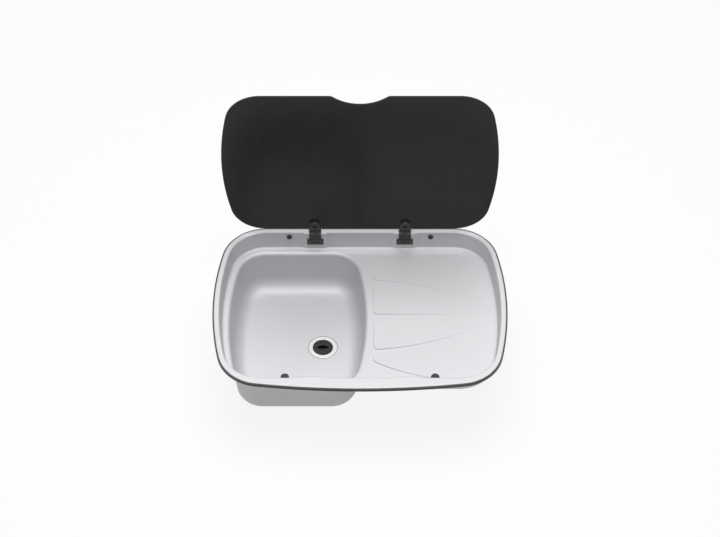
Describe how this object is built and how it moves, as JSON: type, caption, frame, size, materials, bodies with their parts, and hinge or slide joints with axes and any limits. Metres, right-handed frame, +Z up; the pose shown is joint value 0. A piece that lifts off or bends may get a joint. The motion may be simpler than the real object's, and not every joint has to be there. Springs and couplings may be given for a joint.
{
  "type": "inset sink with hinged glass lid",
  "caption": "Inset sink and drainer pressed in one sheet, with a bowed front, a rubber rim seal, a waste with plug, and a hinged tinted glass lid that folds down into the recess.",
  "frame": {"origin": "centre of the pressed recess, seen from above, on the worktop surface (the underside of the rim seal)", "axes": "+Z up, +X along the long side towards the drainer, -Y towards the bowed front edge, where the user stands; the lid hinges at +Y"},
  "size_m": [0.7, 0.5062, 0.6866],
  "materials": {
    "steel_sheet": "fine satin stainless steel",
    "seal_rubber": "matt dark grey rubber",
    "tinted_glass": "polished, very dark grey tint",
    "black_coated_metal": "satin black coating",
    "plain_steel": "plain steel",
    "dark_screw_steel": "blackened steel",
    "black_plastic": "moulded black plastic",
    "black_rubber": "matt black rubber",
    "polished_steel": "polished stainless steel",
    "plug_plastic": "dark grey moulded plastic"
  },
  "bodies": {
    "sink": {"drain_body": "black_plastic", "drain_flange": "polished_steel", "drain_lower_gasket": "black_rubber", "drain_screw": "plain_steel", "drain_upper_gasket": "black_rubber", "hinge_backing_plate_left": "plain_steel", "hinge_backing_plate_right": "plain_steel", "hinge_bracket_left": "black_coated_metal", "hinge_bracket_right": "black_coated_metal", "hinge_pin_left": "plain_steel", "hinge_pin_right": "plain_steel", "hinge_screws_left": "dark_screw_steel", "hinge_screws_right": "dark_screw_steel", "hinge_washers_left": "black_plastic", "hinge_washers_right": "black_plastic", "lid_rest_left": "black_rubber", "lid_rest_right": "black_rubber", "rim_seal": "seal_rubber", "sink_pressing": "steel_sheet", "wall_plug_left": "black_rubber", "wall_plug_right": "black_rubber"},
    "lid": {"hinge_arm_left": "black_coated_metal", "hinge_arm_right": "black_coated_metal", "lid_clamp_disc_left": "black_coated_metal", "lid_clamp_disc_right": "black_coated_metal", "lid_clamp_screw_left": "dark_screw_steel", "lid_clamp_screw_right": "dark_screw_steel", "lid_gaskets_left": "black_rubber", "lid_gaskets_right": "black_rubber", "lid_glass": "tinted_glass", "lid_sleeve_left": "black_plastic", "lid_sleeve_right": "black_plastic"},
    "plug": {"drain_plug": "plug_plastic", "drain_plug_seal": "black_rubber"}
  },
  "joints": [
    {"name": "lid_hinge", "type": "hinge", "parent": "sink", "child": "lid", "pos_m": [0, 0.2336, 0.0175], "axis": [1, 0, 0], "range_deg": [0, 90]},
    {"name": "plug_lift", "type": "slide", "parent": "sink", "child": "plug", "axis": [0, 0, 1], "range_m": [0, 0.25]}
  ]
}
